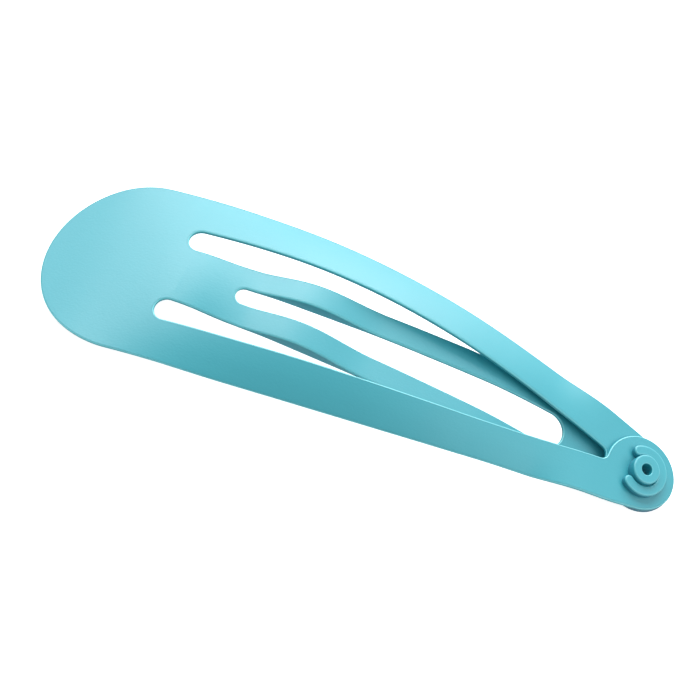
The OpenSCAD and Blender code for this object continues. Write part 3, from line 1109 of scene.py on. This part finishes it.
@dataclass
class Collar(Plate):
    """The open collar round the rivet's button, in the rivet's own frame.

    Attributes:
        radius: the collar's outer radius.
        inner_radius: its inner radius.
        height: its height above the upper pad.
        opening: angle that it leaves open towards the head, in radians.
        slant: how much further in its inner edge is at its foot.
    """

    radius: float = 0.00196
    inner_radius: float = 0.00119
    height: float = 0.00054
    opening: float = math.radians(110)
    slant: float = 0.00014
    step: float = 0.00006
    rounding: float = 0.00012
    corner_steps: int = 4
    rings: tuple[float, ...] = ()
    spacing: float = 0.00009
    clearance: float = 0.0002

    def edges(self) -> list[Edge]:
        """The collar's one edge.

        Returns:
            The edge, with a round lobe at either side of the opening.
        """
        end = 2 * QUARTER - self.opening / 2
        middle, half = (self.radius + self.inner_radius) / 2, (self.radius - self.inner_radius) / 2
        far_end = middle * np.array([math.cos(end), math.sin(end)])
        outline = joined(
            arc((0.0, 0.0), self.radius, end, -end, self.step),
            arc(far_end * [1, -1], half, -end, -end - 2 * QUARTER, self.step),
            arc((0.0, 0.0), self.inner_radius, -end, end, self.step),
            arc(far_end, half, end + 2 * QUARTER, end, self.step),
        )
        return [Edge.closed(outline)]

    def laid(self, face: Face, spots: Spots, depth: float) -> Array:
        """Points at or beside a face, of which the lower is flat and reaches in under the button.

        Args:
            face: the face.
            spots: plan points.
            depth: distance of the points below the upper face.

        Returns:
            One row of X, Y and Z for each point, with the upper pad at zero height.
        """
        if face is Face.UPPER:
            return np.column_stack([spots.plan, np.full(len(spots.plan), self.height - depth)])
        reach = np.hypot(*spots.plan.T)
        share = progress(reach, self.radius, self.inner_radius)
        moved = spots.plan * (1 - self.slant * share / reach)[:, None]
        return np.column_stack([moved, np.zeros(len(moved))])


@dataclass
class Rivet:
    """The rivet: a button with a hole, an open collar, a shank through both pads and a flat foot.

    Attributes:
        sheet: the arched sheet that its pads are part of.
        collar: the open collar.
        eye_radius: radius of the hole.
        button_radius: radius of the button.
        button_height: height of the button above the upper pad.
        button_rounding: radius of the button's upper edge.
        eye_rounding: radius of the hole's upper edge.
        shank_radius: radius of the shank.
        foot_radius: radius of the foot.
        foot_height: thickness of the foot.
        foot_rounding: radius of the foot's lower edge.
        seat_gap: gap between the rivet and the pads' faces.
        turns: steps round the rivet.
        voxel: size of the cells in which the collar and the button are fused, in millimetres.
        soften: share by which a point moves to its neighbours' middle after that.
        rim_bend: bend at which an edge gets the full painted highlight, as a share of a cell.
        wall_lean: cosine to the rivet's axis below which a face counts as a wall with painted shade.
        wall_fade: share of the painted shade that a wall loses up to the collar's height.
    """

    sheet: Sheet = Sheet()
    collar: Collar = field(default_factory=Collar)
    eye_radius: float = 0.00045
    button_radius: float = 0.00113
    button_height: float = 0.00090
    button_rounding: float = 0.00012
    eye_rounding: float = 0.00005
    shank_radius: float = 0.0009
    foot_radius: float = 0.0013
    foot_height: float = 0.00028
    foot_rounding: float = 0.00008
    seat_gap: float = 0.00001
    turns: int = 96
    voxel: float = 0.026
    soften: float = 0.5
    rim_bend: float = 0.18
    wall_lean: float = 0.5
    wall_fade: float = 0.6

    @property
    def stack(self) -> float:
        """Return the height of the two pads with the gap between them."""
        return 2 * self.sheet.thickness + self.sheet.pad_gap

    def _profile(self) -> Array:
        """The turned profile of the button, the shank and the foot.

        Returns:
            Rows of radius and height, from the hole's upper edge outwards and down.
        """
        top, foot_top = self.button_height, -self.stack - 2 * self.seat_gap
        foot_low = foot_top - self.foot_height
        rounds = np.array([self.eye_rounding, self.button_rounding, self.foot_rounding])
        middles = [self.eye_radius, self.button_radius, self.foot_radius] + rounds * [1, -1, -1]
        levels = [top, top, foot_low] + rounds * [-1, -1, 1]
        eye, button, foot = (
            arc((middle, level), radius, (2 - k) * QUARTER, (1 - k) * QUARTER, radius)
            for k, (middle, level, radius) in enumerate(zip(middles, levels, rounds))
        )
        shank = [
            (self.button_radius, 0.0),
            (self.shank_radius, 0.0),
            (self.shank_radius, foot_top),
            (self.foot_radius, foot_top),
        ]
        under = [(middles[-1], foot_low), (self.eye_radius, foot_low)]
        return joined(eye, button, shank, foot, under)

    def _turned(self) -> tuple[Array, Faces]:
        """The button, shank and foot as one turned solid.

        Returns:
            Its points and its faces.
        """
        profile = self._profile()
        angles = np.arange(self.turns) * 4 * QUARTER / self.turns
        ring = np.column_stack([np.cos(angles), np.sin(angles)])
        points = np.vstack([np.column_stack([r * ring, np.full(self.turns, z)]) for r, z in profile])
        faces = []
        for row in range(len(profile)):
            here, below = row * self.turns, (row + 1) % len(profile) * self.turns
            for k in range(self.turns):
                after = (k + 1) % self.turns
                faces.append((here + k, below + k, below + after, here + after))
        return points, faces

    def mesh(self, name: str) -> bpy.types.Mesh:
        """Build the rivet, with its collar and button fused and softened as under a coat.

        Args:
            name: name of the mesh.

        Returns:
            The mesh, in place in the pads.
        """
        points, faces = self._turned()
        collar = self.collar.mesh(name + "_collar")
        faces += [tuple(len(points) + k for k in p.vertices) for p in collar.polygons]
        points = joined(points, [v.co for v in collar.vertices]) * FINE_UNITS
        raw = bpy.data.meshes.new(name + "_raw")
        raw.from_pydata(points.tolist(), [], faces)
        holder = added(name + "_raw", raw)
        remesh = holder.modifiers.new("Fuse", "REMESH")
        remesh.mode, remesh.voxel_size = "VOXEL", self.voxel
        smooth = holder.modifiers.new("Soften", "SMOOTH")
        smooth.factor, smooth.iterations = self.soften, 1
        graph = bpy.context.evaluated_depsgraph_get()
        fused = bpy.data.meshes.new_from_object(holder.evaluated_get(graph))
        bpy.data.objects.remove(holder)
        fused.name = name
        place = Matrix.Translation(self.sheet.middle_point(self.sheet.pad_x))
        turn = Matrix.Rotation(self.sheet.pad_angle, 4, "Y")
        seat = Matrix.Translation((0, 0, self.stack / 2 + self.seat_gap))
        fused.transform(place @ turn @ seat @ Matrix.Scale(1 / FINE_UNITS, 4))
        fused.polygons.foreach_set("use_smooth", np.ones(len(fused.polygons), bool))
        fused.update()
        self._paint_highlight_and_shade(fused)
        return fused

    def _paint_highlight_and_shade(self, mesh: bpy.types.Mesh) -> None:
        """Set the rim attribute: a painted highlight where the mesh bends outwards, painted shade on
        walls.

        Args:
            mesh: the fused mesh, in metres.
        """
        count = len(mesh.vertices)
        points, normals = np.empty((count, 3)), np.empty((count, 3))
        pairs = np.empty((len(mesh.edges), 2), int)
        mesh.vertices.foreach_get("co", points.ravel())
        mesh.vertices.foreach_get("normal", normals.ravel())
        mesh.edges.foreach_get("vertices", pairs.ravel())
        total, around = np.zeros((count, 3)), np.zeros(count)
        for here, there in (pairs.T, pairs.T[::-1]):
            np.add.at(total, here, points[there])
            np.add.at(around, here, 1)
        # edges that bend outwards get a painted highlight
        lean = np.sum((points - total / around[:, None]) * normals, axis=1)
        rim = np.clip(lean * FINE_UNITS / self.voxel / self.rim_bend, 0, 1)
        axis = np.array([math.sin(self.sheet.pad_angle), 0.0, math.cos(self.sheet.pad_angle)])
        from_middle = points - self.sheet.middle_point(self.sheet.pad_x)
        height = from_middle @ axis - self.stack / 2
        reach = np.linalg.norm(from_middle - np.outer(from_middle @ axis, axis), axis=1)
        # walls outside the button get painted shade, fading towards the collar's top
        outside = (reach > self.button_radius / 2) & (height > 0)
        wall = (1 - ease(np.abs(normals @ axis), 0.0, self.wall_lean)) * outside
        shaded = wall * (1 - self.wall_fade * progress(height, 0.0, self.collar.height))
        value = np.clip(rim - shaded, -1, 1).astype(np.float32)
        mesh.attributes.new(PAINTED_LIGHT_ATTRIBUTE, "FLOAT", "POINT").data.foreach_set("value", value)


class Shading:
    """A shader tree whose nodes are added and joined by name."""

    def __init__(self, tree: bpy.types.NodeTree) -> None:
        """Keep the tree that the nodes go into."""
        self.tree = tree

    @classmethod
    def group(cls, name: str, inputs: dict[str, str], outputs: dict[str, str]) -> Shading:
        """Start a node group.

        Args:
            name: name of the group.
            inputs: the kind of each input, by its name.
            outputs: the kind of each output, by its name.

        Returns:
            The group, ready for its nodes.
        """
        tree = bpy.data.node_groups.new(name, "ShaderNodeTree")
        for way, sockets in (("INPUT", inputs), ("OUTPUT", outputs)):
            for label, kind in sockets.items():
                tree.interface.new_socket(label, in_out=way, socket_type="NodeSocket" + kind)
        return cls(tree)

    def feed(self, node: bpy.types.Node, inputs: dict[str | int, object]) -> None:
        """Set the inputs of a node.

        Args:
            node: the node.
            inputs: what each input holds, which is a number, a colour or another node's output.
        """
        for label, value in inputs.items():
            if isinstance(value, bpy.types.NodeSocket):
                self.tree.links.new(value, node.inputs[label])
            else:
                node.inputs[label].default_value = value

    def add(
        self, kind: str, inputs: dict[str | int, object] | None = None, **settings: object
    ) -> bpy.types.NodeOutputs:
        """Add a node.

        Args:
            kind: the node's type.
            inputs: what its inputs hold.
            settings: its own properties.

        Returns:
            The node's outputs.
        """
        node = self.tree.nodes.new(kind)
        for label, value in settings.items():
            setattr(node, label, value)
        self.feed(node, inputs or {})
        return node.outputs

    def product(self, first: object, second: object) -> bpy.types.NodeSocket:
        """Return the product of two values."""
        return self.add("ShaderNodeMath", {0: first, 1: second}, operation="MULTIPLY")["Value"]

    def blended(self, share: object, low: object, high: object) -> bpy.types.NodeSocket:
        """Return the colour at a share of the way from one to another."""
        inputs = {"Factor": share, LOW_COLOUR: low, HIGH_COLOUR: high}
        return self.add("ShaderNodeMix", inputs, data_type="RGBA")[COLOUR_RESULT]


class CoatEffects:
    """The shader node groups that both coats use."""

    def __init__(self) -> None:
        """Build the two groups."""
        self.grain = self._grain()
        self.colour = self._colour()

    @staticmethod
    def _grain() -> bpy.types.NodeTree:
        """Fine stipple and soft mottling of a sprayed coat.

        Returns:
            The group, with Vector, Grain Scale, Streak and Mottle Scale in, and Height and Mottle out.
        """
        scales = dict.fromkeys(("Grain Scale", "Streak", "Mottle Scale"), "Float")
        made = Shading.group(
            "coat_grain", {"Vector": "Vector", **scales}, {"Height": "Float", "Mottle": "Float"}
        )
        given = made.add("NodeGroupInput")
        stretch = made.add("ShaderNodeCombineXYZ", {"X": given["Streak"], "Y": 1.0, "Z": 1.0})
        factors = {0: given["Vector"], 1: stretch["Vector"]}
        along = made.add("ShaderNodeVectorMath", factors, operation="MULTIPLY")["Vector"]
        fine = {"Vector": along, "Scale": given["Grain Scale"]}
        stipple = made.add("ShaderNodeTexNoise", {**fine, "Detail": 3.0, "Roughness": 0.6})
        cells = made.add("ShaderNodeTexVoronoi", {**fine, "Smoothness": 0.6}, feature="SMOOTH_F1")
        parts = {"Factor": 0.4, "A": stipple["Fac"], "B": cells["Distance"]}
        height = made.add("ShaderNodeMix", parts)["Result"]
        wide = {"Vector": given["Vector"], "Scale": given["Mottle Scale"], "Detail": 4.0}
        mottle = made.add("ShaderNodeTexNoise", wide)["Fac"]
        made.add("NodeGroupOutput", {"Height": height, "Mottle": mottle})
        return made.tree

    @staticmethod
    def _colour() -> bpy.types.NodeTree:
        """Colour of a coat that is deeper in patches, with painted shade and a painted highlight.

        Returns:
            The group, with Base, Deep, Hollow, Pale, Mottle, Depth, Rim and Rub in, and Color out.
        """
        colours = dict.fromkeys(("Base", "Deep", "Painted Shade", "Painted Highlight"), "Color")
        values = dict.fromkeys(("Mottle", "Depth", "Painted Light", "Highlight Strength"), "Float")
        made = Shading.group("coat_colour", {**colours, **values}, {"Color": "Color"})
        given = made.add("NodeGroupInput")
        patch = made.product(given["Mottle"], given["Depth"])
        deepened = made.blended(patch, given["Base"], given["Deep"])
        # painted shade where the rim value is below 0, a painted highlight where it is above 0
        shaded = made.blended(made.product(given["Painted Light"], -1.0), deepened, given["Painted Shade"])
        highlighted = made.blended(made.product(given["Painted Light"], given["Highlight Strength"]), shaded, given["Painted Highlight"])
        made.add("NodeGroupOutput", {"Color": highlighted})
        return made.tree


@dataclass(frozen=True)
class CoatFinish:
    """A matte sprayed coat with a fine stipple.

    Attributes:
        name: name of the material.
        base: the coat's colour.
        deep: its colour in the deeper patches.
        hollow: its colour as painted shade, between the pads and down the rivet's walls.
        pale: its colour as a painted highlight along the edges.
        depth: strength of the patches.
        highlight_strength: strength of the painted highlight along the edges.
        roughness: lowest and highest roughness, from the hollows to the tops of the stipple.
        specular: strength of the surface's reflection.
        index: index of refraction of the clear top of the coat.
        grain_scale: stipple cells per metre.
        streak: stretch of the stipple along the clip.
        grain_height: height of the stipple.
        mottle_scale: patches per metre.
    """

    name: str
    base: Colour = (0.012, 0.340, 0.415)
    deep: Colour = (0.008, 0.290, 0.370)
    hollow: Colour = (0.001, 0.150, 0.230)
    pale: Colour = (0.130, 0.600, 0.660)
    depth: float = 0.5
    highlight_strength: float = 0.9
    roughness: tuple[float, float] = (0.42, 0.52)
    specular: float = 0.9
    index: float = 1.6
    grain_scale: float = 7000.0
    streak: float = 0.6
    grain_height: float = 0.0000075
    mottle_scale: float = 260.0

    def material(self, effects: CoatEffects) -> bpy.types.Material:
        """Build the material.

        Args:
            effects: the node groups that the coats share.

        Returns:
            A material whose colour, roughness and bump vary over the surface.
        """
        made = bpy.data.materials.new(self.name)
        made.use_nodes = True
        tree = Shading(made.node_tree)
        scales = {"Grain Scale": self.grain_scale, "Mottle Scale": self.mottle_scale}
        place = {"Vector": tree.add("ShaderNodeTexCoord")["Object"], "Streak": self.streak}
        grain = tree.add("ShaderNodeGroup", {**place, **scales}, node_tree=effects.grain)
        # painted light from the mesh: a painted highlight above 0, painted shade below 0
        rim = tree.add("ShaderNodeAttribute", attribute_name=PAINTED_LIGHT_ATTRIBUTE)["Fac"]
        shades = {"Base": self.base, "Deep": self.deep, "Painted Shade": self.hollow, "Painted Highlight": self.pale}
        tone = {label: (*shade, 1.0) for label, shade in shades.items()}
        tone |= {"Mottle": grain["Mottle"], "Depth": self.depth, "Painted Light": rim, "Highlight Strength": self.highlight_strength}
        colour = tree.add("ShaderNodeGroup", tone, node_tree=effects.colour)["Color"]
        low, high = self.roughness
        spread = {"Value": grain["Height"], "To Min": low, "To Max": high}
        gloss = tree.add("ShaderNodeMapRange", spread)["Result"]
        relief = {"Height": grain["Height"], "Distance": self.grain_height}
        normal = tree.add("ShaderNodeBump", relief)["Normal"]
        shader = made.node_tree.nodes["Principled BSDF"]
        tree.feed(shader, {"Base Color": colour, "Roughness": gloss, "Normal": normal})
        tree.feed(shader, {"Specular IOR Level": self.specular, "IOR": self.index})
        return made


@dataclass(frozen=True)
class FloorFinish:
    """A plain pale studio surface, lifted to white for the camera so that no shadow shows on it.

    Attributes:
        name: name of the material.
        colour: its lighter colour.
        shade: its darker colour.
        cloud_scale: soft patches per metre.
        roughness: its roughness.
        glow: strength of the lift, which lights nothing.
    """

    name: str = "studio_floor"
    colour: Colour = (0.80, 0.80, 0.80)
    shade: Colour = (0.78, 0.785, 0.79)
    cloud_scale: float = 6.0
    roughness: float = 0.9
    glow: float = 0.80

    def material(self) -> bpy.types.Material:
        """Build the material.

        Returns:
            A matte material with soft clouds of tone.
        """
        made = bpy.data.materials.new(self.name)
        made.use_nodes = True
        tree = Shading(made.node_tree)
        lift = tree.product(tree.add("ShaderNodeLightPath")["Is Camera Ray"], self.glow)
        clouds = tree.add("ShaderNodeTexNoise", {"Scale": self.cloud_scale})["Fac"]
        tint = tree.blended(clouds, (*self.colour, 1.0), (*self.shade, 1.0))
        shader = made.node_tree.nodes["Principled BSDF"]
        tree.feed(shader, {"Base Color": tint, "Roughness": self.roughness})
        tree.feed(shader, {"Specular IOR Level": 0.0})
        tree.feed(shader, {"Emission Color": (1.0, 1.0, 1.0, 1.0), "Emission Strength": lift})
        return made


@dataclass(frozen=True)
class SoftLight:
    """A square softbox that faces the clip.

    Attributes:
        name: name of the light.
        azimuth: its angle round the clip from X towards Y, in degrees.
        elevation: its angle above the floor, in degrees.
        power: its power in watts.
        size: side of its face.
        distance: its distance from the clip.
    """

    name: str
    azimuth: float
    elevation: float
    power: float
    size: float = 0.30
    distance: float = 0.45

    def hang(self) -> None:
        """Hang the light in the scene."""
        light = bpy.data.lights.new(self.name, "AREA")
        light.shape, light.energy, light.size = "SQUARE", self.power, self.size
        box = added(self.name, light)
        az, el = math.radians(self.azimuth), math.radians(self.elevation)
        toward = Vector((math.cos(az) * math.cos(el), math.sin(az) * math.cos(el), math.sin(el)))
        box.location = toward * self.distance
        box.rotation_mode = "QUATERNION"
        box.rotation_quaternion = toward.to_track_quat("Z", "Y")


@dataclass
class Studio:
    """The floor, the lights and the camera.

    Attributes:
        floor_size: side of the square floor.
        sky: strength of the even light from all round.
        lights: the soft lights round the clip.
        azimuth: camera's angle round the clip, in degrees.
        elevation: camera's angle above the floor, in degrees.
        roll: camera's turn round its own line of sight, in degrees.
        distance: camera's distance from the clip's middle.
        focal: focal length in millimetres.
        sensor: width of the sensor in millimetres.
        near_limit: distance from which the camera sees.
        target: the point of the clip that the camera is turned round.
        target_pixel: where that point lies in the 700 by 700 picture.
        picture: width and height of the picture in pixels.
    """

    floor_size: float = 3.0
    sky: float = 0.50
    lights: tuple[SoftLight, ...] = (
        SoftLight("back_high", 90.0, 40.0, 1.13),
        SoftLight("back_low", 90.0, 15.0, 0.76),
        SoftLight("head_side", 135.0, 40.0, 1.35),
        SoftLight("tip_side", 0.0, 40.0, 0.66),
    )
    azimuth: float = -0.80
    elevation: float = 63.36
    roll: float = 20.53
    distance: float = 0.215
    focal: float = 147.6
    sensor: float = 36.0
    near_limit: float = 0.01
    target: tuple[float, float, float] = (-0.00002, 0.0, 0.00026)
    target_pixel: tuple[float, float] = (358.6, 371.46)
    picture: float = 700.0

    def build(self) -> None:
        """Build the floor, the lights and the camera."""
        self._floor()
        self._sky()
        for light in self.lights:
            light.hang()
        self._camera()
        bpy.context.scene.view_settings.view_transform = "Standard"

    def _floor(self) -> None:
        """Lay the floor under the clip."""
        half = self.floor_size / 2
        mesh = bpy.data.meshes.new("studio_floor")
        corners = [(-half, -half, 0), (half, -half, 0), (half, half, 0), (-half, half, 0)]
        mesh.from_pydata(corners, [], [(0, 1, 2, 3)])
        floor = added("studio_floor", mesh)
        floor.data.materials.append(FloorFinish().material())

    def _sky(self) -> None:
        """Light the scene evenly from all round."""
        world = bpy.data.worlds.new("studio_sky")
        world.use_nodes = True
        white = {"Color": (1.0, 1.0, 1.0, 1.0), "Strength": self.sky}
        Shading(world.node_tree).feed(world.node_tree.nodes["Background"], white)
        bpy.context.scene.world = world

    def _camera(self) -> None:
        """Set the camera at the photograph's angle."""
        az, el, roll = (math.radians(a) for a in (self.azimuth, self.elevation, self.roll))
        right = Vector((math.cos(az), -math.sin(az), 0.0))
        up = Vector((math.sin(az) * math.sin(el), math.cos(az) * math.sin(el), math.cos(el)))
        back = Vector((-math.sin(az) * math.cos(el), -math.cos(az) * math.cos(el), math.sin(el)))
        turned_right = right * math.cos(roll) + up * math.sin(roll)
        turned_up = up * math.cos(roll) - right * math.sin(roll)
        turn = Matrix((turned_right, turned_up, back)).transposed().to_4x4()
        camera = added("camera", bpy.data.cameras.new("camera"))
        camera.matrix_world = Matrix.Translation(Vector(self.target) + back * self.distance) @ turn
        camera.data.lens, camera.data.sensor_width = self.focal, self.sensor
        camera.data.clip_start = self.near_limit
        camera.data.shift_x = -(self.target_pixel[0] - self.picture / 2) / self.picture
        camera.data.shift_y = (self.target_pixel[1] - self.picture / 2) / self.picture
        bpy.context.scene.camera = camera


@dataclass
class HairClip:
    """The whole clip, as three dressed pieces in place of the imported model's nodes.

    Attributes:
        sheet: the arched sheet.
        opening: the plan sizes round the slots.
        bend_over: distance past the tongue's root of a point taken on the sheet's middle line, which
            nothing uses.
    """

    sheet: Sheet = Sheet()
    opening: Opening = Opening()
    bend_over: float = 0.006

    def build(self) -> None:
        """Build and dress the pieces, and put the frame and the rivet on the frame's body."""
        effects = CoatEffects()
        coat = CoatFinish("turquoise_coat").material(effects)
        # the rivet's painted highlight is paler than the sheet's
        rivet_finish = CoatFinish("turquoise_coat_rivet", pale=(0.190, 0.690, 0.750), depth=0.3)
        shared = {"sheet": self.sheet, "opening": self.opening, "bend": RootBend(self.sheet)}
        frame = self._piece("coated_frame", ClipFrame(**shared), coat)
        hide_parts("frame")
        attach(frame, Body.FRAME.value)
        tongue = self._piece("coated_tongue", Tongue(**shared), coat)
        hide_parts("tongue")
        root_x = self.opening.root_x
        start, end = (self.sheet.middle_point(x) for x in (root_x, root_x + self.bend_over))
        tuple(start)
        tuple(end)
        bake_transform(tongue)
        rivet = self._piece("coated_rivet", Rivet(self.sheet), rivet_finish.material(effects))
        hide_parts("rivet")
        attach(rivet, Body.FRAME.value)

    @staticmethod
    def _piece(name: str, part: Plate | Rivet, material: bpy.types.Material) -> bpy.types.Object:
        """One piece of the clip.

        Args:
            name: the piece's name.
            part: what builds its mesh.
            material: its finish.

        Returns:
            The piece, in place.
        """
        piece = added(name, part.mesh(name))
        piece.data.materials.append(material)
        LOG.info("%s: %d points, %d faces", name, len(piece.data.vertices), len(piece.data.polygons))
        return piece


def main() -> None:
    """Load the frame and build the studio and the clip round it."""
    logging.basicConfig(level=logging.INFO, format="%(name)s: %(message)s")
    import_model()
    Studio().build()
    HairClip().build()


if __name__ == "__main__":
    main()
